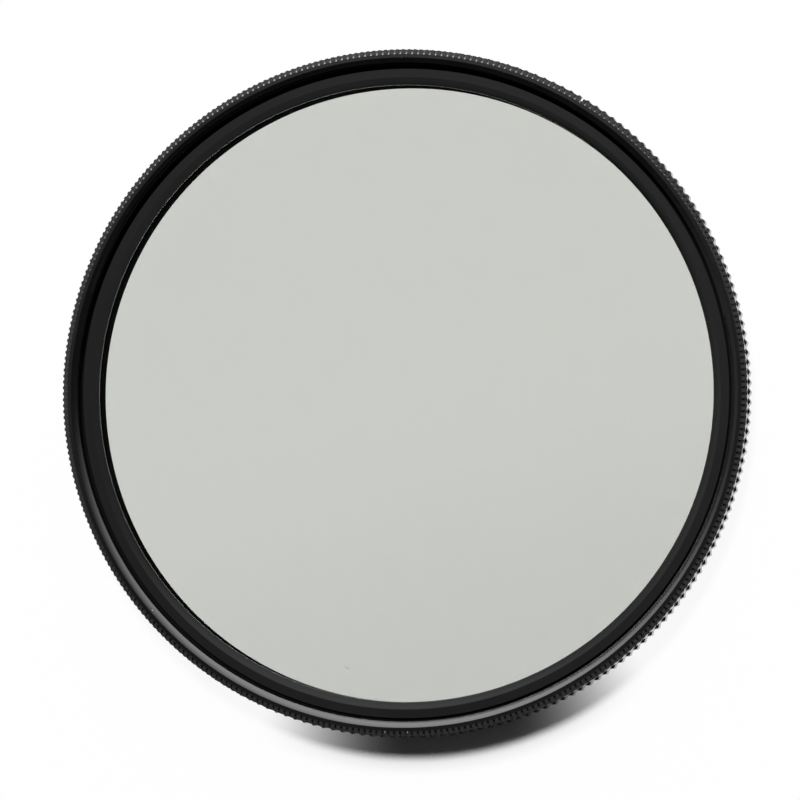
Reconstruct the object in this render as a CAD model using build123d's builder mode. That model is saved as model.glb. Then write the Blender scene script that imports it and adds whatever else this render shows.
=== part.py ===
"""Screw-in circular polarising lens filter for a 67 mm lens thread.

A mount ring screws into the lens. A front ring turns freely in it, held by a flat snap ring, and
carries the laminated polarising glass. All sizes are in millimetres. +Z runs along the optical axis
towards the front of the filter, and the origin is the centre of the rear end face.
"""

import os
from math import atan, cos, degrees, pi, sin, sqrt

from build123d import *

# Lens thread, male at the rear and female at the front
thread_diameter = 67.0
thread_pitch = 0.75
male_thread_length = 2.2
male_thread_chamfer = 0.35
female_thread_length = 1.35
lead_in_width = 0.66
lead_in_depth = 0.55

# Front rim, with a fine V knurl
rim_land_width = 0.1
rim_chamfer_width = 0.73
rim_chamfer_height = 0.45
front_knurl_teeth = 360
front_knurl_depth = 0.36
teeth_per_chamfer_facet = 4
index_notch_width = 0.3
index_notch_angle = 59.0

# Mount ring, with a coarse V knurl that stands out beyond the front rim
mount_rim_step = 0.22
mount_knurl_teeth = 218
mount_knurl_depth = 0.28
mount_wall = 1.7
socket_floor_thickness = 0.45

# Front ring behind its rim
skirt_wall = 0.7
web_thickness = 0.8
lip_width = 0.9
lip_edge_thickness = 0.25
lip_bevel_width = 0.75
lip_bevel_depth = 0.35

# Laminated glass
glass_thickness = 0.7
polariser_thickness = 0.18
retarder_thickness = 0.1
cement_line = 0.02

# Glass retaining ring
retainer_width = 0.7
spanner_notch_width = 1.4
spanner_notch_depth = 0.3
spanner_notch_floor = 0.3

# Snap ring, flat and open on one side
snap_ring_width = 0.5
snap_ring_thickness = 0.5
snap_ring_opening = 14.0

# Fits
ring_gap = 0.25
running_clearance = 0.05
seat_clearance = 0.05
snap_ring_clearance = 0.03
end_clearance = 0.1
turning_stock = 0.05

# Radii, from the lens thread out to the rims and then inwards (a metric thread is 5/8 sharp height deep)
sharp_thread_height = sqrt(3) / 2 * thread_pitch
thread_radius = thread_diameter / 2
female_thread_radius = thread_radius - 5 / 8 * sharp_thread_height
lead_in_radius = female_thread_radius + lead_in_width
ridge_radius = lead_in_radius + rim_land_width
rim_radius = ridge_radius + rim_chamfer_width
mount_radius = rim_radius + mount_rim_step
socket_radius = mount_radius - mount_knurl_depth - mount_wall
skirt_radius = socket_radius - running_clearance
glass_seat_radius = skirt_radius - skirt_wall
glass_radius = glass_seat_radius - seat_clearance
aperture_radius = glass_radius - lip_width
retainer_bore_radius = glass_radius - retainer_width
rear_bore_radius = retainer_bore_radius
skirt_groove_radius = skirt_radius - snap_ring_width / 2
snap_ring_radius = skirt_groove_radius + snap_ring_clearance
undercut_radius = socket_radius + snap_ring_width + snap_ring_clearance

# Heights, from the rear end face up through the glass to the front
shoulder_z = male_thread_length
socket_floor_z = shoulder_z + socket_floor_thickness
skirt_bottom_z = socket_floor_z + end_clearance
rear_glass_z = skirt_bottom_z + spanner_notch_depth + spanner_notch_floor
retarder_z = rear_glass_z + glass_thickness + cement_line
polariser_z = retarder_z + retarder_thickness + cement_line
front_glass_z = polariser_z + polariser_thickness + cement_line
lip_z = front_glass_z + glass_thickness
lip_edge_z = lip_z + lip_edge_thickness
band_z = lip_edge_z + lip_bevel_depth
lead_in_z = band_z + female_thread_length
front_z = lead_in_z + lead_in_depth
rim_bottom_z = band_z - web_thickness
mount_top_z = rim_bottom_z - ring_gap
groove_bottom_z = (socket_floor_z + mount_top_z - snap_ring_thickness) / 2 - snap_ring_clearance
snap_ring_z = groove_bottom_z + snap_ring_clearance
groove_top_z = snap_ring_z + snap_ring_thickness + snap_ring_clearance


def knurl_outline(crest_radius, depth, teeth):
    """Corner points of a straight V knurl, crest and root in turn."""
    corners = [(pi * step / teeth, crest_radius - depth * (step % 2)) for step in range(2 * teeth)]
    return [(radius * cos(angle), radius * sin(angle)) for angle, radius in corners]


# Front ring
chamfer_facets = front_knurl_teeth // teeth_per_chamfer_facet

with BuildPart() as front_ring:
    # Knurled bar, with the index notch across the knurl
    with BuildSketch(Plane.XY.offset(skirt_bottom_z)):
        with BuildLine():
            Polyline(*knurl_outline(rim_radius, front_knurl_depth, front_knurl_teeth), close=True)
        make_face()
        with PolarLocations(rim_radius, 1, start_angle=index_notch_angle):
            Rectangle(2 * front_knurl_depth, index_notch_width, mode=Mode.SUBTRACT)
    extrude(amount=front_z - skirt_bottom_z)
    # Front chamfer, in facets that each span a few teeth
    with BuildSketch(Plane.XY.offset(front_z)):
        RegularPolygon(ridge_radius, chamfer_facets, rotation=180 / chamfer_facets)
    extrude(
        amount=front_z - skirt_bottom_z,
        dir=(0, 0, -1),
        taper=-degrees(atan(rim_chamfer_width / rim_chamfer_height)),
        mode=Mode.INTERSECT,
    )
    # Everything turned
    with BuildSketch(Plane.XZ):
        with BuildLine():
            Polyline(
                # Front thread bore with its lead-in, and the lip in front of the glass
                (lead_in_radius, front_z),
                (female_thread_radius, lead_in_z),
                (female_thread_radius, band_z),
                (aperture_radius + lip_bevel_width, band_z),
                (aperture_radius, lip_edge_z),
                (aperture_radius, lip_z),
                # Glass seat and skirt, with the groove that the snap ring springs into
                (glass_seat_radius, lip_z),
                (glass_seat_radius, skirt_bottom_z),
                (skirt_radius, skirt_bottom_z),
                (skirt_radius, groove_bottom_z),
                (skirt_groove_radius, groove_bottom_z),
                (skirt_groove_radius, groove_top_z),
                (skirt_radius, groove_top_z),
                # Rim
                (skirt_radius, rim_bottom_z),
                (rim_radius + turning_stock, rim_bottom_z),
                (rim_radius + turning_stock, front_z),
                close=True,
            )
        make_face()
    revolve(axis=Axis.Z, mode=Mode.INTERSECT)
front_ring.part.label = "front_ring"

# Mount ring
with BuildPart() as mount_ring:
    # Knurled bar
    with BuildSketch(Plane.XY):
        with BuildLine():
            Polyline(*knurl_outline(mount_radius, mount_knurl_depth, mount_knurl_teeth), close=True)
        make_face()
    extrude(amount=mount_top_z)
    # Everything turned
    with BuildSketch(Plane.XZ):
        with BuildLine():
            Polyline(
                # Thread tube with its chamfered end
                (rear_bore_radius, 0),
                (thread_radius - male_thread_chamfer, 0),
                (thread_radius, male_thread_chamfer),
                (thread_radius, shoulder_z),
                # Flange
                (mount_radius + turning_stock, shoulder_z),
                (mount_radius + turning_stock, mount_top_z),
                # Socket for the skirt, undercut so that the snap ring can spread
                (socket_radius, mount_top_z),
                (socket_radius, groove_top_z),
                (undercut_radius, groove_top_z),
                (undercut_radius, socket_floor_z),
                (rear_bore_radius, socket_floor_z),
                close=True,
            )
        make_face()
    revolve(axis=Axis.Z, mode=Mode.INTERSECT)
mount_ring.part.label = "mount_ring"

# Snap ring
with BuildPart() as snap_ring:
    with BuildSketch(Plane.XZ):
        with Locations((snap_ring_radius, snap_ring_z)):
            Rectangle(snap_ring_width, snap_ring_thickness, align=(Align.MIN, Align.MIN))
    revolve(axis=Axis.Z, revolution_arc=360 - snap_ring_opening)
snap_ring.part.label = "snap_ring"

# Glass retaining ring, with two notches for a pin spanner
with BuildPart() as glass_retaining_ring:
    with BuildSketch(Plane.XY.offset(skirt_bottom_z)):
        Circle(glass_radius)
        Circle(retainer_bore_radius, mode=Mode.SUBTRACT)
    extrude(amount=rear_glass_z - skirt_bottom_z)
    with BuildSketch(Plane.XY.offset(skirt_bottom_z)):
        Rectangle(2 * skirt_radius, spanner_notch_width)
    extrude(amount=spanner_notch_depth, mode=Mode.SUBTRACT)
glass_retaining_ring.part.label = "glass_retaining_ring"

# Laminated glass: two glass discs with the polarising and the quarter-wave film cemented between them
with BuildPart() as front_glass:
    with BuildSketch(Plane.XY.offset(front_glass_z)):
        Circle(glass_radius)
    extrude(amount=glass_thickness)
front_glass.part.label = "front_glass"

with BuildPart() as polarising_film:
    with BuildSketch(Plane.XY.offset(polariser_z)):
        Circle(glass_radius)
    extrude(amount=polariser_thickness)
polarising_film.part.label = "polarising_film"

with BuildPart() as quarter_wave_film:
    with BuildSketch(Plane.XY.offset(retarder_z)):
        Circle(glass_radius)
    extrude(amount=retarder_thickness)
quarter_wave_film.part.label = "quarter_wave_film"

with BuildPart() as rear_glass:
    with BuildSketch(Plane.XY.offset(rear_glass_z)):
        Circle(glass_radius)
    extrude(amount=glass_thickness)
rear_glass.part.label = "rear_glass"

os.makedirs("parts", exist_ok=True)
for piece in (
    front_ring,
    mount_ring,
    snap_ring,
    glass_retaining_ring,
    front_glass,
    polarising_film,
    quarter_wave_film,
    rear_glass,
):
    export_step(piece.part, f"parts/{piece.part.label}.step")
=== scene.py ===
"""Looks of the screw-in polarising filter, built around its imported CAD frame."""

import logging
import math
from contextlib import contextmanager
from dataclasses import dataclass, field
from enum import Enum
from typing import Iterator, Sequence, Union

import bmesh
import bpy
from mathutils import Matrix, Vector


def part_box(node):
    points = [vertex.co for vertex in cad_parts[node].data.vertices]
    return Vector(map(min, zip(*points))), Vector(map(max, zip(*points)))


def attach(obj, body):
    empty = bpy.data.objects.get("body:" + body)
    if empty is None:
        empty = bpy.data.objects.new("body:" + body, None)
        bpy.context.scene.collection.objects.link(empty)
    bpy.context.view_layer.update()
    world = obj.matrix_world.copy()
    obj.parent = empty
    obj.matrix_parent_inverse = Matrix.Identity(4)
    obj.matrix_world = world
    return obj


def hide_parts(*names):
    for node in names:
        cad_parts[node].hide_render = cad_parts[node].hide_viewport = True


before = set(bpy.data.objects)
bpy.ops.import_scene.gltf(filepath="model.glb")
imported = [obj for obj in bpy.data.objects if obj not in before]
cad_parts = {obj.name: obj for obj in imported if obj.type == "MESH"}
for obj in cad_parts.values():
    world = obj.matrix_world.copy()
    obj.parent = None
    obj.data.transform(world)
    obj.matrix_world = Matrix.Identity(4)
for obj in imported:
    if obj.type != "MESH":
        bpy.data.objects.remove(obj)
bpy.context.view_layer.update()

log = logging.getLogger("lens_filter")

MM = 0.001
FULL_TURN = 2 * math.pi
AXIS = (0.0, 0.0, 1.0)
ORIGIN = (0.0, 0.0, 0.0)
MERGE_DISTANCE = 0.0005 * MM
SAME_PLACE = 0.002 * MM
SHARP_EDGE = math.radians(24)
IMAGE_SIZE = 800
WHITE = (1.0, 1.0, 1.0)

Colour = tuple[float, float, float]
Span = tuple[float, float]
Socket = bpy.types.NodeSocket
Material = bpy.types.Material
Piece = bpy.types.Object
Number = Union[float, "Value"]


class Body(Enum):
    """Rigid bodies of the frame."""

    MOUNT = "mount"
    FRONT = "front"


class Slot(Enum):
    """Material slots of the record, kept on the discs but not assigned by this script."""

    MOUNT_RING = "mount_ring_aluminium"
    FRONT_RING = "front_ring_aluminium"
    RETAINING_RING = "retaining_ring_aluminium"
    GLASS = "coated_glass"
    POLARISER = "polarising_film"
    RETARDER = "quarter_wave_film"


def direction(azimuth: float, elevation: float = 0.0) -> Vector:
    """Direction given by two angles in degrees.

    Args:
        azimuth: Angle from +X towards +Y.
        elevation: Angle above the floor.

    Returns:
        Direction of length 1.
    """
    turn, rise = math.radians(azimuth), math.radians(elevation)
    return Vector((math.cos(rise) * math.cos(turn), math.cos(rise) * math.sin(turn), math.sin(rise)))


# Shader graphs


class Value:
    """A number socket in a shader graph. Arithmetic on it adds Math nodes."""

    def __init__(self, graph: "ShaderGraph", socket: Socket) -> None:
        """Keeps the graph and the output socket that carries the number."""
        self.graph = graph
        self.socket = socket

    def __add__(self, other: Number) -> "Value":
        """Sum."""
        return self.graph.math("ADD", self, other)

    __radd__ = __add__

    def __sub__(self, other: Number) -> "Value":
        """Difference."""
        return self.graph.math("SUBTRACT", self, other)

    def __rsub__(self, other: Number) -> "Value":
        """Difference from a plain number."""
        return self.graph.math("SUBTRACT", other, self)

    def __mul__(self, other: Number) -> "Value":
        """Product."""
        return self.graph.math("MULTIPLY", self, other)

    __rmul__ = __mul__

    def __truediv__(self, other: Number) -> "Value":
        """Quotient."""
        return self.graph.math("DIVIDE", self, other)

    def __gt__(self, other: Number) -> "Value":
        """1 where this value is the larger, else 0."""
        return self.graph.math("GREATER_THAN", self, other)

    def __lt__(self, other: Number) -> "Value":
        """1 where this value is the smaller, else 0."""
        return self.graph.math("LESS_THAN", self, other)

    def __abs__(self) -> "Value":
        """Size without sign."""
        return self.graph.math("ABSOLUTE", self)

    def root(self) -> "Value":
        """Square root."""
        return self.graph.math("SQRT", self)

    def largest(self, other: Number) -> "Value":
        """The larger of two values."""
        return self.graph.math("MAXIMUM", self, other)

    def clamped(self) -> "Value":
        """The value kept between 0 and 1."""
        return self.graph.value("ShaderNodeClamp", sockets={"Value": self})

    def ramp(self, low: float, high: float) -> "Value":
        """Share that rises smoothly from 0 at low to 1 at high."""
        sockets = {"Value": self, "From Min": low, "From Max": high}
        return self.graph.value("ShaderNodeMapRange", {"interpolation_type": "SMOOTHSTEP"}, sockets)


class ShaderGraph:
    """Node tree of one material or world, built from expressions."""

    def __init__(self, tree: bpy.types.NodeTree) -> None:
        """Takes over a node tree and empties it."""
        self.tree = tree
        self.tree.nodes.clear()

    def node(self, kind: str, settings: dict | None = None, sockets: dict | None = None) -> bpy.types.Node:
        """Adds a node.

        Args:
            kind: Blender's node type.
            settings: Properties of the node, set first.
            sockets: Values or links, by the name or the index of the input.

        Returns:
            The new node.
        """
        made = self.tree.nodes.new(kind)
        for key, value in (settings or {}).items():
            setattr(made, key, value)
        for key, value in (sockets or {}).items():
            self.feed(made.inputs[key], value)
        return made

    def feed(self, target: Socket, value: object) -> None:
        """Links or sets one input.

        Args:
            target: Input socket.
            value: A wrapped number, an output socket, or a plain value.
        """
        if isinstance(value, Value):
            value = value.socket
        if isinstance(value, Socket):
            self.tree.links.new(value, target)
        elif isinstance(value, tuple) and target.type == "RGBA":
            target.default_value = (*value, 1.0)
        else:
            target.default_value = value

    def value(self, kind: str, settings: dict | None = None, sockets: dict | None = None) -> Value:
        """First output of a new node, as a number."""
        return Value(self, self.node(kind, settings, sockets).outputs[0])

    def shader(self, kind: str, sockets: dict) -> Socket:
        """Output of a new shader of a kind, such as Diffuse."""
        return self.node(f"ShaderNodeBsdf{kind}", sockets=sockets).outputs[0]

    def ray(self, kind: str) -> Value:
        """1 for rays of a kind, such as Camera, else 0."""
        return Value(self, self.node("ShaderNodeLightPath").outputs[f"Is {kind} Ray"])

    def math(self, operation: str, *numbers: Number) -> Value:
        """Result of a Math node with one or two operands."""
        return self.value("ShaderNodeMath", {"operation": operation}, dict(enumerate(numbers)))

    def blend(self, share: Number, first: object, second: object) -> Socket:
        """Mix of two colours, by the share of the second."""
        made = self.node("ShaderNodeMix", {"data_type": "RGBA"}, {0: share, 6: first, 7: second})
        return made.outputs[2]

    def mix(self, share: Number, under: Socket, over: Socket) -> Socket:
        """Mix of two shaders, by the share of the second."""
        return self.node("ShaderNodeMixShader", sockets={0: share, 1: under, 2: over}).outputs[0]

    def place(self) -> Socket:
        """Object coordinates of the shaded point."""
        return self.node("ShaderNodeTexCoord").outputs["Object"]

    def parts(self, vector: Socket) -> tuple[Value, Value, Value]:
        """The three parts of a vector."""
        made = self.node("ShaderNodeSeparateXYZ", sockets={0: vector})
        return tuple(Value(self, made.outputs[index]) for index in range(3))

    def grain(self, vector: Socket, scale: float, detail: float = 2.0) -> Value:
        """Solid noise from 0 to 1, with a scale in waves per metre."""
        sockets = {"Vector": vector, "Scale": scale, "Detail": detail}
        return self.value("ShaderNodeTexNoise", sockets=sockets)

    def streaks(self, along: Value, scale: float, detail: float = 3.0) -> Value:
        """Noise from 0 to 1 along one line, constant across it, with a scale in waves per metre."""
        sockets = {"W": along, "Scale": scale, "Detail": detail}
        return self.value("ShaderNodeTexNoise", {"noise_dimensions": "1D"}, sockets)

    def bump(self, height: Value, depth: float, strength: float) -> Socket:
        """Relief for a shader's Normal, from a height between 0 and 1."""
        sockets = {"Height": height, "Distance": depth, "Strength": strength}
        return self.node("ShaderNodeBump", sockets=sockets).outputs["Normal"]

    def surface(self, shader: Socket) -> None:
        """Shows a shader."""
        kind = "World" if self.tree.id_data.id_type == "WORLD" else "Material"
        self.node(f"ShaderNodeOutput{kind}", sockets={"Surface": shader})


def new_graph(name: str) -> tuple[Material, ShaderGraph]:
    """Starts a material.

    Args:
        name: Name of the material.

    Returns:
        The material and its empty graph.
    """
    material = bpy.data.materials.new(name)
    material.use_nodes = True
    return material, ShaderGraph(material.node_tree)


# Finishes


@dataclass(frozen=True)
class Speck:
    """A grain of dust: its direction in degrees, radius, height, size and the share of that in its core."""

    angle: float
    radius: float
    height: float
    size: float
    core: float = 0.4

    def mask(self, graph: ShaderGraph, place: Socket) -> Value:
        """Share of the surface that the grain covers.

        Args:
            graph: Graph of the material.
            place: Object coordinates.

        Returns:
            The mask.
        """
        angle = math.radians(self.angle)
        centre = (self.radius * math.cos(angle), self.radius * math.sin(angle), self.height)
        gap = graph.node("ShaderNodeVectorMath", {"operation": "DISTANCE"}, {0: place, 1: centre})
        return 1 - Value(graph, gap.outputs["Value"]).ramp(self.core * self.size, self.size)


@dataclass(frozen=True)
class IndexMark:
    """White mark on the rim: its direction in degrees, the radius where it starts and its width."""

    angle: float
    start: float
    width: float

    def mask(self, x: Value, y: Value) -> Value:
        """Share of the surface that is painted.

        Args:
            x: First object coordinate.
            y: Second object coordinate.

        Returns:
            The mask.
        """
        cosine, sine = math.cos(math.radians(self.angle)), math.sin(math.radians(self.angle))
        along = x * cosine + y * sine
        across = abs(y * cosine - x * sine)
        return (along > self.start) * (across < self.width / 2)


@dataclass(frozen=True)
class Zone:
    """Turned zone of a ring: its two radii, its two heights and how far its inner edge fades."""

    inner: float
    outer: float
    low: float
    high: float
    fade: float = 0.0

    def mask(self, radius: Value, height: Value) -> Value:
        """1 inside the zone, 0 outside it.

        Args:
            radius: Distance from the axis.
            height: Height above the floor.

        Returns:
            The mask.
        """
        level = (height > self.low) * (height < self.high)
        inside = radius.ramp(self.inner, self.inner + self.fade) if self.fade else radius > self.inner
        return inside * (radius < self.outer) * level


@dataclass(frozen=True)
class Fibre:
    """Fibre of lint on the glass: its two ends, its width and the share of that in its core."""

    start: Span
    end: Span
    width: float
    core: float = 0.2

    def mask(self, x: Value, y: Value) -> Value:
        """Share of the surface that the fibre covers.

        Args:
            x: First object coordinate.
            y: Second object coordinate.

        Returns:
            The mask.
        """
        step = Vector(self.end) - Vector(self.start)
        middle = (Vector(self.end) + Vector(self.start)) / 2
        way = step.normalized()
        along = abs((x - middle.x) * way.x + (y - middle.y) * way.y)
        across = abs((x - middle.x) * way.y - (y - middle.y) * way.x)
        return (1 - across.ramp(self.core * self.width, self.width)) * (along < step.length / 2)


@dataclass(frozen=True)
class AnodisedFinish:
    """Black anodised aluminium with turning marks, dust, matt, dull or worn zones, and a painted-light zone
    of paler grey on the rim.
    """

    name: str
    black: Colour = (0.0035, 0.0035, 0.0038)
    grey: Colour = (0.0075, 0.0072, 0.0076)
    # Paler grey painted on the rim's outer chamfer, as light that its knurled facets catch.
    painted_light_grey: Colour = (0.03, 0.0295, 0.0295)
    dust: Colour = (0.5, 0.49, 0.47)
    paint: Colour = (0.85, 0.85, 0.83)
    metal: Colour = (0.62, 0.61, 0.6)
    line_tone: float = 0.55
    cloud_tone: float = 0.6
    grain_tone: float = 0.25
    tone_span: Span = (0.35, 1.05)
    roughness: float = 0.42
    line_roughness: float = 0.16
    cloud_roughness: float = 0.12
    shine: float = 0.02
    seal: float = 0.88
    line_seal: float = 0.35
    seal_roughness: float = 0.13
    matt_roughness: float = 0.45
    worn_share: float = 0.17
    dull_share: float = 0.45
    turning_pitch: float = 0.09 * MM
    turning_depth: float = 0.002 * MM
    turning_slant: float = 0.83
    line_relief: float = 0.8
    grain_relief: float = 0.35
    relief_strength: float = 0.5
    clouds_per_metre: float = 260.0
    grains_per_metre: float = 5200.0
    motes_per_metre: float = 420.0
    mote_size: float = 0.03
    mote_share: float = 0.3
    mote_clouds: Span = (0.52, 0.62)
    specks: tuple[Speck, ...] = ()
    mark: IndexMark | None = None
    matt: Zone | None = None
    worn: Zone | None = None
    # Zone of the rim where that paler grey is painted as light.
    painted_light_zone: Zone | None = None
    dull: Zone | None = None

    def make(self) -> Material:
        """Builds the material.

        Returns:
            The finished material.
        """
        material, graph = new_graph(self.name)
        place = graph.place()
        x, y, z = graph.parts(place)
        radius = (x * x + y * y).root()
        lines = graph.streaks(radius + self.turning_slant * z, 1 / self.turning_pitch, detail=4.0)
        cloud = graph.grain(place, self.clouds_per_metre, detail=4.0)
        grain = graph.grain(place, self.grains_per_metre)
        tone = lines * self.line_tone + cloud * self.cloud_tone + grain * self.grain_tone
        colour = graph.blend(tone.ramp(*self.tone_span), self.black, self.grey)
        # Painted light: paler grey on the rim's outer chamfer, where its facets catch light.
        if self.painted_light_zone is not None:
            colour = graph.blend(self.painted_light_zone.mask(radius, z), colour, self.painted_light_grey)
        sockets = {"Vector": place, "Scale": self.motes_per_metre}
        mote = graph.value("ShaderNodeTexVoronoi", sockets=sockets) < self.mote_size
        dusty = mote * cloud.ramp(*self.mote_clouds) * self.mote_share
        colour = graph.blend(dusty, colour, self.dust)
        seal = (self.seal + (lines - 0.5) * self.line_seal).clamped()
        roughness = self.roughness + (lines - 0.5) * self.line_roughness
        roughness = roughness + (cloud - 0.5) * self.cloud_roughness
        if self.dull is not None:
            seal = seal * (1 - self.dull.mask(radius, z) * self.dull_share)
        if self.matt is not None:
            matt = self.matt.mask(radius, z)
            seal = seal * (1 - matt)
            roughness = roughness + matt * self.matt_roughness
        cover = self.cover_mask(graph, place, x, y)
        if cover is not None:
            seal = seal * (1 - cover)
            colour = graph.blend(cover, colour, self.paint)
        height = lines * self.line_relief + grain * self.grain_relief
        relief = graph.bump(height, self.turning_depth, self.relief_strength)
        sockets = {
            "Base Color": colour,
            "Roughness": roughness,
            "Specular IOR Level": self.shine,
            "Coat Weight": seal,
            "Coat Roughness": self.seal_roughness,
            "Normal": relief,
        }
        shader = graph.shader("Principled", sockets)
        if self.worn is not None:
            sockets = {
                "Base Color": self.metal,
                "Metallic": 1.0,
                "Roughness": self.seal_roughness,
                "Normal": relief,
            }
            bare = graph.shader("Principled", sockets)
            shader = graph.mix(self.worn.mask(radius, z) * self.worn_share, shader, bare)
        graph.surface(shader)
        return material

    def cover_mask(self, graph: ShaderGraph, place: Socket, x: Value, y: Value) -> Value | None:
        """Share of the surface that dust grains and the painted mark cover.

        Args:
            graph: Graph of the material.
            place: Object coordinates.
            x: First object coordinate.
            y: Second object coordinate.

        Returns:
            The mask, or None if the ring has neither.
        """
        masks = [speck.mask(graph, place) for speck in self.specks]
        if self.mark is not None:
            masks.append(self.mark.mask(x, y))
        cover = None
        for mask in masks:
            cover = mask if cover is None else cover.largest(mask)
        return cover


@dataclass(frozen=True)
class SteelFinish:
    """Bright spring steel, drawn lengthwise."""

    name: str = "spring_steel"
    bright: Colour = (0.52, 0.52, 0.53)
    dull: Colour = (0.34, 0.34, 0.35)
    roughness: float = 0.32
    line_roughness: float = 0.2
    lines_per_metre: float = 16000.0

    def make(self) -> Material:
        """Builds the material.

        Returns:
            The finished material.
        """
        material, graph = new_graph(self.name)
        x, y, z = graph.parts(graph.place())
        lines = graph.streaks((x * x + y * y).root() + z, self.lines_per_metre)
        sockets = {
            "Base Color": graph.blend(lines, self.dull, self.bright),
            "Metallic": 1.0,
            "Roughness": self.roughness + (lines - 0.5) * self.line_roughness,
        }
        graph.surface(graph.shader("Principled", sockets))
        return material


@dataclass(frozen=True)
class GlassFinish:
    """Coated optical glass: clear to lamps, with faint smears and perhaps a fibre of lint."""

    name: str
    clear: Colour = (0.995, 1.0, 0.997)
    haze: Colour = (0.3, 0.3, 0.29)
    index: float = 1.45
    shine: float = 0.2
    smear: float = 0.006
    smears_per_metre: float = 70.0
    smear_span: Span = (0.6, 0.85)
    lint: Fibre | None = None
    lint_share: float = 0.12

    def make(self) -> Material:
        """Builds the material.

        Returns:
            The finished material.
        """
        material, graph = new_graph(self.name)
        place = graph.place()
        sockets = {
            "Base Color": self.clear,
            "Roughness": 0.0,
            "IOR": self.index,
            "Specular IOR Level": self.shine,
            "Transmission Weight": 1.0,
        }
        glass = graph.shader("Principled", sockets)
        open_path = graph.shader("Transparent", {"Color": self.clear})
        clear = graph.mix(graph.ray("Shadow"), glass, open_path)
        share = 0.0
        if self.smear:
            smears = graph.grain(place, self.smears_per_metre, detail=1.0)
            share = smears.ramp(*self.smear_span) * self.smear
        if self.lint is not None:
            x, y, _ = graph.parts(place)
            share = share + self.lint.mask(x, y) * self.lint_share
        graph.surface(graph.mix(share, clear, graph.shader("Diffuse", {"Color": self.haze})))
        return material


@dataclass(frozen=True)
class FilmFinish:
    """Tinted film between the glasses, which takes light out, with painted shade that darkens it towards
    one side.
    """

    name: str
    tint: Colour
    body: Colour
    cover: float
    # Share of painted shade on the darker side of the film.
    painted_shade: float
    shade_slant: float = 0.25
    shade_reach: Span = (-32 * MM, 1 * MM)
    clouds_per_metre: float = 40.0
    cloud_span: Span = (0.58, 0.85)
    body_roughness: float = 0.5

    def make(self) -> Material:
        """Builds the material.

        Returns:
            The finished material.
        """
        material, graph = new_graph(self.name)
        place = graph.place()
        x, y, _ = graph.parts(place)
        cloud = graph.grain(place, self.clouds_per_metre, detail=1.0).ramp(*self.cloud_span)
        # Painted shade: the tint darkens towards one side of the film.
        side = 1 - (y - self.shade_slant * x).ramp(*self.shade_reach)
        painted_shade_tint = tuple(part * (1 - self.painted_shade) for part in self.tint)
        light, dark = (graph.shader("Transparent", {"Color": colour}) for colour in (self.tint, painted_shade_tint))
        clear = graph.mix(side, light, dark)
        body = graph.shader("Principled", {"Base Color": self.body, "Roughness": self.body_roughness})
        graph.surface(graph.mix(cloud * self.cover, clear, body))
        return material


@dataclass(frozen=True)
class FloorFinish:
    """White studio floor: keeps the shadow in one sector by the filter and is lifted to white elsewhere."""

    name: str = "studio_floor"
    white: Colour = (0.95, 0.95, 0.95)
    lift: float = 0.93
    shadow_azimuth: float = -82.0
    shadow_core: float = 8.0
    shadow_edge: float = 34.0
    shadow_reach: Span = (36.8 * MM, 38.8 * MM)

    def make(self) -> Material:
        """Builds the material.

        Returns:
            The finished material.
        """
        material, graph = new_graph(self.name)
        x, y, _ = graph.parts(graph.place())
        radius = (x * x + y * y).root()
        middle = direction(self.shadow_azimuth)
        facing = (x * middle.x + y * middle.y) / radius
        edge, core = (math.cos(math.radians(angle)) for angle in (self.shadow_edge, self.shadow_core))
        shadow = facing.ramp(edge, core) * (1 - radius.ramp(*self.shadow_reach))
        lifted = graph.ray("Camera").largest(graph.ray("Glossy")) * (1 - shadow) * self.lift
        seen = lifted.largest(graph.ray("Transmission"))
        plain = graph.shader("Diffuse", {"Color": self.white})
        glow = graph.node("ShaderNodeEmission", sockets={"Color": WHITE, "Strength": 1.0})
        graph.surface(graph.mix(seen, plain, glow.outputs[0]))
        return material


# Turning


@dataclass(frozen=True)
class Corner:
    """A corner of a turned outline: its radius, height and how far it is eased."""

    radius: float
    height: float
    ease: float = 0.0

    def place(self, angle: float) -> Vector:
        """Where the corner stands, turned by an angle about the axis."""
        return Vector((self.radius * math.cos(angle), self.radius * math.sin(angle), self.height))

    def towards(self, other: "Corner", distance: float) -> "Corner":
        """A point on the way to another corner.

        Args:
            other: Corner to go to.
            distance: Distance to go.

        Returns:
            The point.
        """
        span = math.hypot(other.radius - self.radius, other.height - self.height)
        share = distance / span
        radius = self.radius + (other.radius - self.radius) * share
        return Corner(radius, self.height + (other.height - self.height) * share)


def eased(corners: Sequence[Corner]) -> list[Corner]:
    """Rounds the eased corners of a closed outline.

    Args:
        corners: Corners in order.

    Returns:
        Outline points, three to an eased corner and one to a sharp one.
    """
    points = []
    for index, corner in enumerate(corners):
        if not corner.ease:
            points.append(corner)
            continue
        first = corner.towards(corners[index - 1], corner.ease)
        last = corner.towards(corners[(index + 1) % len(corners)], corner.ease)
        middle = Corner(
            (first.radius + 2 * corner.radius + last.radius) / 4,
            (first.height + 2 * corner.height + last.height) / 4,
        )
        points += [first, middle, last]
    return points


def deselect_all() -> None:
    """Deselects every object."""
    bpy.ops.object.select_all(action="DESELECT")


def activate(piece: Piece) -> None:
    """Selects one object alone and makes it the active one.

    Args:
        piece: Object to select.
    """
    deselect_all()
    piece.select_set(True)
    bpy.context.view_layer.objects.active = piece


@contextmanager
def editing(piece: Piece) -> Iterator[None]:
    """Holds one object in edit mode, with all of it selected at first.

    Args:
        piece: Object to edit.

    Yields:
        Nothing.
    """
    activate(piece)
    bpy.ops.object.mode_set(mode="EDIT")
    bpy.ops.mesh.select_all(action="SELECT")
    yield
    bpy.ops.object.mode_set(mode="OBJECT")


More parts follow.
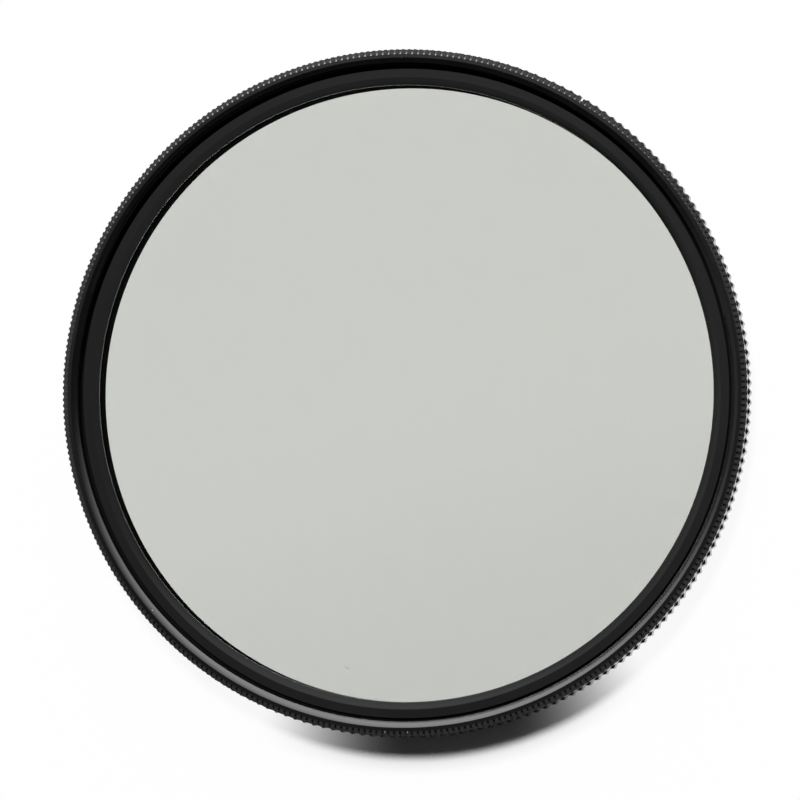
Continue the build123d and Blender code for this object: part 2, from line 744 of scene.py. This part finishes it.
def select_near(piece: Piece, places: Sequence[Vector]) -> None:
    """Selects the points of a mesh in edit mode that lie at given places.

    Args:
        piece: Object in edit mode.
        places: Places to look at.
    """
    mesh = bmesh.from_edit_mesh(piece.data)
    wanted = [
        point for point in mesh.verts if any((point.co - place).length < SAME_PLACE for place in places)
    ]
    bpy.ops.mesh.select_all(action="DESELECT")
    for point in wanted:
        point.select_set(True)
    mesh.select_flush(True)
    bmesh.update_edit_mesh(piece.data)


def apply_modifier(piece: Piece, modifier: bpy.types.Modifier) -> None:
    """Applies a modifier of a piece."""
    activate(piece)
    bpy.ops.object.modifier_apply(modifier=modifier.name)


def cut(piece: Piece, tool: Piece) -> None:
    """Takes a tool's shape out of a piece and throws the tool away.

    Args:
        piece: Piece to cut.
        tool: Closed cutter.
    """
    modifier = piece.modifiers.new("cut", "BOOLEAN")
    modifier.operation = "DIFFERENCE"
    modifier.solver = "EXACT"
    modifier.object = tool
    apply_modifier(piece, modifier)
    bpy.data.objects.remove(tool)


def smooth(piece: Piece) -> None:
    """Shades a piece smooth, apart from its sharp edges, and keeps its wide faces flat.

    Args:
        piece: Piece to shade.
    """
    activate(piece)
    bpy.ops.object.shade_smooth_by_angle(angle=SHARP_EDGE)
    modifier = piece.modifiers.new("flat_faces", "WEIGHTED_NORMAL")
    modifier.keep_sharp = True
    apply_modifier(piece, modifier)


class Lathe:
    """Draws closed outlines and turns them about the optical axis."""

    def trace(self, name: str, outline: Sequence[Corner]) -> Piece:
        """Draws an outline in the XZ plane, one edge after the other.

        Args:
            name: Name of the new object.
            outline: Points of the closed outline.

        Returns:
            Object that holds the outline's edges.
        """
        deselect_all()
        bpy.ops.mesh.primitive_plane_add(size=MM)
        piece = bpy.context.active_object
        piece.name = piece.data.name = name
        with editing(piece):
            bpy.ops.mesh.merge(type="CENTER")
            bpy.ops.transform.translate(value=(outline[0].radius, 0, outline[0].height))
            for here, there in zip(outline, [*outline[1:], outline[0]]):
                step = (there.radius - here.radius, 0, there.height - here.height)
                bpy.ops.mesh.extrude_vertices_move(TRANSFORM_OT_translate={"value": step})
            bpy.ops.mesh.select_all(action="SELECT")
            bpy.ops.mesh.remove_doubles(threshold=MERGE_DISTANCE)
        return piece

    def spin(self, angle: float, steps: int = 1, copies: bool = False) -> None:
        """Spins what is selected about the axis, into a surface or into copies."""
        bpy.ops.mesh.spin(steps=steps, dupli=copies, angle=angle, center=ORIGIN, axis=AXIS)

    def close(self) -> None:
        """Joins the seams of the mesh in edit mode and turns its faces outwards."""
        bpy.ops.mesh.select_all(action="SELECT")
        bpy.ops.mesh.remove_doubles(threshold=MERGE_DISTANCE)
        bpy.ops.mesh.normals_make_consistent(inside=False)

    def turn(self, name: str, outline: Sequence[Corner], steps: int) -> Piece:
        """Turns a plain ring.

        Args:
            name: Name of the ring.
            outline: Its section.
            steps: Steps round the axis.

        Returns:
            The ring.
        """
        piece = self.trace(name, outline)
        with editing(piece):
            self.spin(FULL_TURN, steps)
            self.close()
        return piece

    def reshape(self, piece: Piece, before: Sequence[Corner], after: Sequence[Corner]) -> None:
        """Moves the selected column of points from one outline to another, and keeps it selected.

        Args:
            piece: Object in edit mode, with one column selected.
            before: Outline that the column has.
            after: Outline that it gets.
        """
        first = next(point.co for point in bmesh.from_edit_mesh(piece.data).verts if point.select)
        angle = math.atan2(first.y, first.x)
        for old, new in zip(before, after):
            if old != new:
                select_near(piece, [old.place(angle)])
                growth = new.radius / old.radius
                bpy.ops.transform.resize(value=(growth, growth, 1), center_override=ORIGIN)
                bpy.ops.transform.translate(value=(0, 0, new.height - old.height))
        select_near(piece, [corner.place(angle) for corner in after])

    def knurl(
        self,
        name: str,
        crest: Sequence[Corner],
        root: Sequence[Corner],
        teeth: int,
        crest_share: float,
        root_share: float,
    ) -> Piece:
        """Turns a ring with a straight knurl: one tooth, then copies of it.

        Args:
            name: Name of the ring.
            crest: Section through a tooth's crest.
            root: Section through the root beside it, with as many points.
            teeth: Teeth round the ring.
            crest_share: Flat of the crest as a share of the pitch.
            root_share: Flat of the root as a share of the pitch.

        Returns:
            The ring.
        """
        pitch = FULL_TURN / teeth
        flat = pitch * crest_share / 2
        floor = pitch * root_share
        flank = (pitch - floor) / 2 - flat
        piece = self.trace(name, crest)
        with editing(piece):
            self.spin(flat)
            self.spin(flank)
            self.reshape(piece, crest, root)
            self.spin(floor)
            self.spin(flank)
            self.reshape(piece, root, crest)
            self.spin(flat)
            bpy.ops.mesh.select_all(action="SELECT")
            bpy.ops.mesh.quads_convert_to_tris(quad_method="LONGEST_DIAGONAL")
            self.spin(FULL_TURN - pitch, teeth - 1, copies=True)
            self.close()
        return piece

    def coil(self, name: str, outline: Sequence[Corner], pitch: float, turns: float, steps: int) -> Piece:
        """Winds an outline into a right-handed helix with closed ends.

        Args:
            name: Name of the helix.
            outline: Its section at the start.
            pitch: Rise per turn.
            turns: Turns.
            steps: Steps per turn.

        Returns:
            The helix.
        """
        piece = self.trace(name, outline)
        screw = piece.modifiers.new("helix", "SCREW")
        screw.axis = "Z"
        screw.angle = FULL_TURN * turns
        screw.screw_offset = pitch * turns
        screw.steps = screw.render_steps = round(steps * turns)
        apply_modifier(piece, screw)
        with editing(piece):
            bpy.ops.mesh.fill_holes(sides=0)
            bpy.ops.mesh.normals_make_consistent(inside=False)
        return piece


def dress(piece: Piece, material: Material) -> None:
    """Gives a piece one material."""
    piece.data.materials.clear()
    piece.data.materials.append(material)


def settle(piece: Piece, material: Material, body: Body, node: str) -> None:
    """Smooths and dresses a modelled piece, and puts it in the place of its CAD node.

    Args:
        piece: Modelled piece.
        material: Its material.
        body: Body that it rides on.
        node: CAD node that it stands for.
    """
    smooth(piece)
    dress(piece, material)
    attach(piece, body.value)
    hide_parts(node)


def report(piece: Piece) -> None:
    """Logs a finished piece."""
    log.info("%s: %d faces", piece.name, len(piece.data.polygons))


# Pieces


@dataclass(frozen=True)
class LensThread:
    """Metric lens thread: its pitch, its flank angle in degrees and how its cutter is made."""

    pitch: float = 0.75 * MM
    flank: float = 30.0
    overcut: float = 0.08 * MM
    steps: int = 180

    @property
    def depth(self) -> float:
        """Depth from crest to root, 5/8 of the sharp thread's height."""
        return 5 / 8 * math.sqrt(3) / 2 * self.pitch

    def groove(self, lathe: Lathe, mouth: float, outwards: bool, start: float, turns: float) -> Piece:
        """Cutter for a helical V groove.

        Args:
            lathe: Lathe that winds it.
            mouth: Radius of the plain wall.
            outwards: True to cut away from the axis.
            start: Height of the groove's start.
            turns: Turns.

        Returns:
            The cutter.
        """
        side = 1 if outwards else -1
        half = (self.depth + self.overcut) * math.tan(math.radians(self.flank))
        outline = [
            Corner(mouth - side * self.overcut, start - half),
            Corner(mouth + side * self.depth, start),
            Corner(mouth - side * self.overcut, start + half),
        ]
        return lathe.coil("thread_cutter", outline, self.pitch, turns, self.steps)


@dataclass
class FrontRing:
    """Turning front ring: fine knurl, front thread, lip and skirt."""

    finish: AnodisedFinish
    crest_radius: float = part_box("front_ring")[1].x
    front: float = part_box("front_ring")[1].z
    skirt_bottom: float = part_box("front_ring")[0].z
    teeth: int = 360
    knurl_depth: float = 0.52 * MM
    crest_share: float = 0.47
    root_share: float = 0.3
    shoulder: float = 1.1 * MM
    runout: float = 0.38 * MM
    runout_edge_width: float = 0.12 * MM
    runout_edge_height: float = 0.05 * MM
    chamfer_width: float = 0.86 * MM
    chamfer_height: float = 0.45 * MM
    land: float = 0.02 * MM
    lead_in_width: float = 0.61 * MM
    lead_in_depth: float = 0.5 * MM
    thread_length: float = 1.4 * MM
    relief_width: float = 0.35 * MM
    relief_depth: float = 0.5 * MM
    lip_bevel_width: float = 0.75 * MM
    lip_bevel_depth: float = 0.35 * MM
    lip_edge: float = 0.25 * MM
    lip_width: float = 0.91 * MM
    seat_clearance: float = 0.05 * MM
    skirt_wall: float = 0.7 * MM
    web: float = 0.8 * MM
    groove_depth: float = 0.25 * MM
    groove_clearance: float = 0.03 * MM
    rear_chamfer: float = 0.12 * MM
    lead_in_ease: float = 0.02 * MM
    lip_ease: float = 0.05 * MM
    skirt_ease: float = 0.06 * MM
    thread_start: float = 0.4125 * MM
    thread_turns: float = 1.45
    thread: LensThread = field(default_factory=LensThread)
    lathe: Lathe = field(default_factory=Lathe)

    @property
    def bore(self) -> float:
        """Radius of the bore that the front thread is cut into."""
        return self.crest_radius - self.chamfer_width - self.land - self.lead_in_width

    @property
    def band(self) -> float:
        """Height of the band at the foot of the front thread."""
        return self.front - self.lead_in_depth - self.thread_length

    def outline(self, rim: float) -> list[Corner]:
        """Section of the ring.

        Args:
            rim: Radius of the rim at this section.

        Returns:
            Outline points, from the front round the bore to the rim.
        """
        ridge = self.crest_radius - self.chamfer_width
        chamfer_drop = (rim - ridge) * self.chamfer_height / self.chamfer_width
        bore, band = self.bore, self.band
        lip_edge_top = band - self.lip_bevel_depth
        lip_bottom = lip_edge_top - self.lip_edge
        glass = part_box("front_glass")[1].x
        aperture = glass - self.lip_width
        seat = glass + self.seat_clearance
        skirt = seat + self.skirt_wall
        snap_low, snap_high = (corner.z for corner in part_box("snap_ring"))
        rim_bottom = band - self.web
        runout_edge = max(rim, self.crest_radius - self.runout_edge_width)
        return eased(
            [
                Corner(ridge - self.land, self.front),
                Corner(bore, self.front - self.lead_in_depth, self.lead_in_ease),
                Corner(bore, band - self.relief_depth),
                Corner(bore - self.relief_width, band - self.relief_depth),
                Corner(bore - self.relief_width, band),
                Corner(aperture + self.lip_bevel_width, band),
                Corner(aperture, lip_edge_top, self.lip_ease),
                Corner(aperture, lip_bottom),
                Corner(seat, lip_bottom),
                Corner(seat, self.skirt_bottom),
                Corner(skirt, self.skirt_bottom, self.skirt_ease),
                Corner(skirt, snap_low - self.groove_clearance),
                Corner(skirt - self.groove_depth, snap_low - self.groove_clearance),
                Corner(skirt - self.groove_depth, snap_high + self.groove_clearance),
                Corner(skirt, snap_high + self.groove_clearance),
                Corner(skirt, rim_bottom),
                Corner(self.crest_radius - self.rear_chamfer, rim_bottom),
                Corner(self.crest_radius, rim_bottom + self.rear_chamfer),
                Corner(self.crest_radius, self.front - self.shoulder),
                Corner(runout_edge, self.front - self.shoulder + self.runout_edge_height),
                Corner(rim, self.front - self.shoulder + self.runout),
                Corner(rim, self.front - chamfer_drop),
                Corner(ridge, self.front),
            ]
        )

    def build(self) -> Piece:
        """Turns, knurls and threads the ring.

        Returns:
            The finished ring.
        """
        crest = self.outline(self.crest_radius)
        root = self.outline(self.crest_radius - self.knurl_depth)
        ring = self.lathe.knurl(
            "front_ring_turned", crest, root, self.teeth, self.crest_share, self.root_share
        )
        start = self.band + self.thread_start
        cut(ring, self.thread.groove(self.lathe, self.bore, True, start, self.thread_turns))
        settle(ring, self.finish.make(), Body.FRONT, "front_ring")
        return ring


@dataclass
class MountRing:
    """Mount ring: coarse knurl, socket for the skirt and male lens thread."""

    finish: AnodisedFinish
    sharp_radius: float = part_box("mount_ring")[1].x
    top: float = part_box("mount_ring")[1].z
    bottom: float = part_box("mount_ring")[0].z
    teeth: int = 218
    knurl_depth: float = 0.28 * MM
    crest_flat: float = 0.03 * MM
    root_share: float = 0.06
    edge_chamfer: float = 0.1 * MM
    wall: float = 1.7 * MM
    thread_radius: float = 33.5 * MM
    thread_length: float = 2.2 * MM
    thread_chamfer: float = 0.35 * MM
    bore_chamfer: float = 0.5 * MM
    floor: float = 0.45 * MM
    snap_room: float = 0.53 * MM
    groove_clearance: float = 0.03 * MM
    bore_offset: float = 0.91 * MM
    bore_ease: float = 0.02 * MM
    edge_ease: float = 0.03 * MM
    socket_ease: float = 0.06 * MM
    thread_lead: float = 0.2 * MM
    thread_turns: float = 2.5
    thread: LensThread = field(default_factory=LensThread)
    lathe: Lathe = field(default_factory=Lathe)

    def outline(self, rim: float) -> list[Corner]:
        """Section of the ring.

        Args:
            rim: Radius of the rim at this section.

        Returns:
            Outline points, from the rear bore round the rim to the socket.
        """
        socket = self.sharp_radius - self.knurl_depth - self.wall
        shoulder = self.bottom + self.thread_length
        socket_floor = shoulder + self.floor
        groove_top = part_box("snap_ring")[1].z + self.groove_clearance
        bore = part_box("rear_glass")[1].x - self.bore_offset
        edge = min(rim, self.sharp_radius - self.crest_flat - self.edge_chamfer)
        return eased(
            [
                Corner(bore + self.bore_chamfer, self.bottom, self.bore_ease),
                Corner(self.thread_radius - self.thread_chamfer, self.bottom, self.edge_ease),
                Corner(self.thread_radius, self.bottom + self.thread_chamfer),
                Corner(self.thread_radius, shoulder),
                Corner(edge, shoulder),
                Corner(rim, shoulder + self.edge_chamfer),
                Corner(rim, self.top - self.edge_chamfer),
                Corner(edge, self.top),
                Corner(socket, self.top, self.socket_ease),
                Corner(socket, groove_top),
                Corner(socket + self.snap_room, groove_top),
                Corner(socket + self.snap_room, socket_floor),
                Corner(bore, socket_floor, self.edge_ease),
                Corner(bore, self.bottom + self.bore_chamfer, self.bore_ease),
            ]
        )

    def build(self) -> Piece:
        """Turns, knurls and threads the ring.

        Returns:
            The finished ring.
        """
        crest = self.outline(self.sharp_radius - self.crest_flat)
        root = self.outline(self.sharp_radius - self.knurl_depth)
        crest_share = self.crest_flat / self.knurl_depth
        ring = self.lathe.knurl("mount_ring_turned", crest, root, self.teeth, crest_share, self.root_share)
        start = self.bottom - self.thread_lead
        cut(ring, self.thread.groove(self.lathe, self.thread_radius, False, start, self.thread_turns))
        settle(ring, self.finish.make(), Body.MOUNT, "mount_ring")
        return ring


@dataclass
class RetainingRing:
    """Thin ring behind the glass, with notches for a pin spanner."""

    finish: AnodisedFinish
    radius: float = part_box("glass_retaining_ring")[1].x
    top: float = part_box("glass_retaining_ring")[1].z
    bottom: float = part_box("glass_retaining_ring")[0].z
    width: float = 0.7 * MM
    notch_width: float = 1.4 * MM
    notch_depth: float = 0.3 * MM
    ease: float = 0.04 * MM
    steps: int = 360
    lathe: Lathe = field(default_factory=Lathe)

    def build(self) -> Piece:
        """Turns and notches the ring.

        Returns:
            The finished ring.
        """
        bore = self.radius - self.width
        outline = [
            Corner(bore, self.bottom, self.ease),
            Corner(self.radius, self.bottom, self.ease),
            Corner(self.radius, self.top),
            Corner(bore, self.top),
        ]
        ring = self.lathe.turn("retaining_ring_turned", eased(outline), self.steps)
        deselect_all()
        bpy.ops.mesh.primitive_cube_add(size=1.0)
        tool = bpy.context.active_object
        with editing(tool):
            bpy.ops.transform.resize(value=(3 * self.radius, self.notch_width, 2 * self.notch_depth))
            bpy.ops.transform.translate(value=(0, 0, self.bottom))
        cut(ring, tool)
        settle(ring, self.finish.make(), Body.FRONT, "glass_retaining_ring")
        return ring


@dataclass
class Disc:
    """Glass or film disc of the laminate."""

    node: str
    slot: Slot
    finish: GlassFinish | FilmFinish
    edge: float
    sides: int = 360

    def build(self) -> Piece:
        """Makes the disc with its edges broken.

        Returns:
            The finished disc.
        """
        low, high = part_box(self.node)
        deselect_all()
        bpy.ops.mesh.primitive_cylinder_add(vertices=self.sides, radius=high.x, depth=high.z - low.z)
        disc = bpy.context.active_object
        disc.name = disc.data.name = f"{self.node}_disc"
        with editing(disc):
            bpy.ops.transform.translate(value=(0, 0, (low.z + high.z) / 2))
            bpy.ops.mesh.select_all(action="DESELECT")
            self.select_rims(disc)
            bpy.ops.mesh.bevel(offset=self.edge, segments=1)
        settle(disc, self.finish.make(), Body.FRONT, self.node)
        return disc

    def select_rims(self, disc: Piece) -> None:
        """Selects the edges where the wall meets the flat faces.

        Args:
            disc: Disc in edit mode.
        """
        mesh = bmesh.from_edit_mesh(disc.data)
        for edge in mesh.edges:
            level = abs(edge.verts[0].co.z - edge.verts[1].co.z) < SAME_PLACE
            edge.select_set(level)
        mesh.select_flush(True)
        bmesh.update_edit_mesh(disc.data)


# Studio


@dataclass(frozen=True)
class SoftLamp:
    """Round softbox far away: the direction it stands in and its width in degrees, and its strength."""

    name: str
    azimuth: float
    elevation: float
    width: float
    strength: float

    def place(self) -> None:
        """Adds the lamp."""
        lamp = bpy.data.lights.new(self.name, "SUN")
        lamp.energy = self.strength
        lamp.angle = math.radians(self.width)
        stand = bpy.data.objects.new(self.name, lamp)
        towards = direction(self.azimuth, self.elevation)
        stand.rotation_euler = towards.to_track_quat("Z", "Y").to_euler()
        bpy.context.scene.collection.objects.link(stand)


@dataclass
class Studio:
    """White floor, soft light and the photo's camera."""

    lamp: SoftLamp = SoftLamp("high_softbox", azimuth=97.0, elevation=72.0, width=8.0, strength=2.7)
    ambient: float = 0.03
    glow: float = 5.3
    glow_azimuth: float = 85.0
    glow_spread: Span = (0.1, 1.0)
    glow_heights: Span = (0.1, 0.36)
    sky_glow: float = 0.6
    sky_glow_elevation: float = 42.0
    sky_glow_spread: Span = (0.75, 1.0)
    haze: float = 0.28
    haze_rise: Span = (0.4, 0.6)
    haze_fall: Span = (0.75, 0.95)
    side_haze: float = 0.45
    side_haze_azimuth: float = 140.0
    side_haze_spread: Span = (0.2, 1.0)
    side_haze_heights: Span = (0.5, 0.8)
    floor_size: float = 6.0
    floor_cuts: int = 3
    floor_finish: FloorFinish = field(default_factory=FloorFinish)
    camera_azimuth: float = -22.5
    camera_elevation: float = 83.25
    distance: float = 0.8
    pixels_per_mm: float = 9.955
    front_centre_px: Span = (402.75, 391.95)
    sensor: float = 36.0
    near_clip: float = 0.01

    def build(self) -> None:
        """Sets up floor, light and camera."""
        self.build_floor()
        self.build_world()
        self.lamp.place()
        self.build_camera()
        bpy.context.scene.view_settings.view_transform = "Standard"

    def build_floor(self) -> None:
        """Adds the floor under the filter."""
        deselect_all()
        bpy.ops.mesh.primitive_plane_add(size=self.floor_size)
        floor = bpy.context.active_object
        floor.name = "floor"
        with editing(floor):
            bpy.ops.mesh.subdivide(number_cuts=self.floor_cuts)
        dress(floor, self.floor_finish.make())

    def build_world(self) -> None:
        """Lights the scene with a glow low on one side, and shows white past the floor."""
        world = bpy.data.worlds.new("studio")
        world.use_nodes = True
        bpy.context.scene.world = world
        graph = ShaderGraph(world.node_tree)
        view = graph.node("ShaderNodeTexCoord").outputs["Generated"]
        x, y, z = graph.parts(view)
        low = direction(self.glow_azimuth)
        low_glow = (x * low.x + y * low.y).ramp(*self.glow_spread) * (1 - abs(z).ramp(*self.glow_heights))
        high = direction(self.glow_azimuth, self.sky_glow_elevation)
        sky_glow = (x * high.x + y * high.y + z * high.z).ramp(*self.sky_glow_spread)
        haze = z.ramp(*self.haze_rise) * (1 - z.ramp(*self.haze_fall))
        side = direction(self.side_haze_azimuth)
        side_haze = (x * side.x + y * side.y).ramp(*self.side_haze_spread)
        side_haze = side_haze * (1 - abs(z).ramp(*self.side_haze_heights))
        mirrored = (haze * self.haze + side_haze * self.side_haze) * graph.ray("Glossy")
        light = self.ambient + low_glow * self.glow + sky_glow * self.sky_glow + mirrored
        seen = graph.ray("Camera")
        strength = light * (1 - seen) + seen
        sky = graph.node("ShaderNodeBackground", sockets={"Color": WHITE, "Strength": strength})
        graph.surface(sky.outputs[0])

    def build_camera(self) -> None:
        """Puts the camera where the photo was taken from."""
        target = Vector((0, 0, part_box("front_ring")[1].z))
        towards = direction(self.camera_azimuth, self.camera_elevation)
        right = Vector((0, 1, 0)).cross(towards).normalized()
        camera = bpy.data.cameras.new("camera")
        stand = bpy.data.objects.new("camera", camera)
        stand.rotation_euler = Matrix((right, towards.cross(right), towards)).transposed().to_euler()
        stand.location = target + self.distance * towards
        view_width = IMAGE_SIZE / self.pixels_per_mm * MM
        camera.sensor_width = self.sensor
        camera.lens = self.sensor * self.distance / view_width
        camera.shift_x = (IMAGE_SIZE / 2 - self.front_centre_px[0]) / IMAGE_SIZE
        camera.shift_y = (self.front_centre_px[1] - IMAGE_SIZE / 2) / IMAGE_SIZE
        camera.clip_start = self.near_clip
        bpy.context.scene.collection.objects.link(stand)
        bpy.context.scene.camera = stand


def front_ring_finish() -> AnodisedFinish:
    """Finish of the front ring, with its zones and specks placed from the crest and the front.

    Returns:
        The finish.
    """
    crest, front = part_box("front_ring")[1].xz
    return AnodisedFinish(
        "front_ring_anodised",
        mark=IndexMark(angle=58.4, start=crest - 0.3 * MM, width=0.24 * MM),
        worn=Zone(crest - 0.5 * MM, crest - 0.11 * MM, front - 1.06 * MM, front - 0.74 * MM),
        dull=Zone(crest - 0.86 * MM, crest + MM, front - 1.2 * MM, front + MM),
        # Painted light: paler grey over the outer chamfer and rim.
        painted_light_zone=Zone(crest - 0.62 * MM, crest + MM, front - 0.47 * MM, front, fade=0.25 * MM),
        matt=Zone(crest - 1.86 * MM, crest - 1.0 * MM, front - 2.45 * MM, front - 0.52 * MM),
        specks=(
            Speck(93.1, crest - 0.5 * MM, front, 0.16 * MM),
            Speck(26.1, crest - 1.3 * MM, front - 0.5 * MM, 0.10 * MM),
            Speck(24.5, crest - 1.35 * MM, front - 0.5 * MM, 0.08 * MM),
            Speck(20.8, crest - 1.3 * MM, front - 0.5 * MM, 0.08 * MM),
            Speck(-89.4, crest - 0.4 * MM, front - 0.2 * MM, 0.15 * MM),
            Speck(-93.1, crest - 0.4 * MM, front - 0.2 * MM, 0.08 * MM),
        ),
    )


def main() -> None:
    """Builds the filter's looks and the studio in order, and reports each piece."""
    logging.basicConfig(level=logging.INFO, format="%(name)s: %(message)s")
    crest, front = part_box("front_ring")[1].xz
    rear_bore_edge = 31.7 * MM
    rear_bore = Zone(0.0, rear_bore_edge, -MM, front)
    all_over = Zone(0.0, crest, 0.0, front)
    lint = Fibre(start=(-6.2 * MM, -27.5 * MM), end=(-5.67 * MM, -27.85 * MM), width=0.12 * MM)
    front_glass = GlassFinish("coated_front_glass", lint=lint)
    rear_glass = GlassFinish("coated_rear_glass", smear=0.0)
    # The polariser carries the painted shade on one side; the retarder has none.
    polariser = FilmFinish(
        "polarising_film", tint=(0.829, 0.837, 0.817), body=(0.01, 0.01, 0.01), cover=0.006, painted_shade=0.039
    )
    retarder = FilmFinish(
        "quarter_wave_film", tint=(0.995, 0.995, 0.99), body=(0.02, 0.02, 0.018), cover=0.003, painted_shade=0.0
    )
    glass_edge, film_edge = 0.1 * MM, 0.02 * MM
    for part in (
        FrontRing(front_ring_finish()),
        MountRing(AnodisedFinish("mount_ring_anodised", shine=0.0, matt=rear_bore)),
        RetainingRing(AnodisedFinish("retaining_ring_anodised", shine=0.0, matt=all_over)),
        Disc("front_glass", Slot.GLASS, front_glass, glass_edge),
        Disc("rear_glass", Slot.GLASS, rear_glass, glass_edge),
        Disc("polarising_film", Slot.POLARISER, polariser, film_edge),
        Disc("quarter_wave_film", Slot.RETARDER, retarder, film_edge),
    ):
        report(part.build())
    snap_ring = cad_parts["snap_ring"]
    dress(snap_ring, SteelFinish().make())
    report(snap_ring)
    Studio().build()


if __name__ == "__main__":
    main()
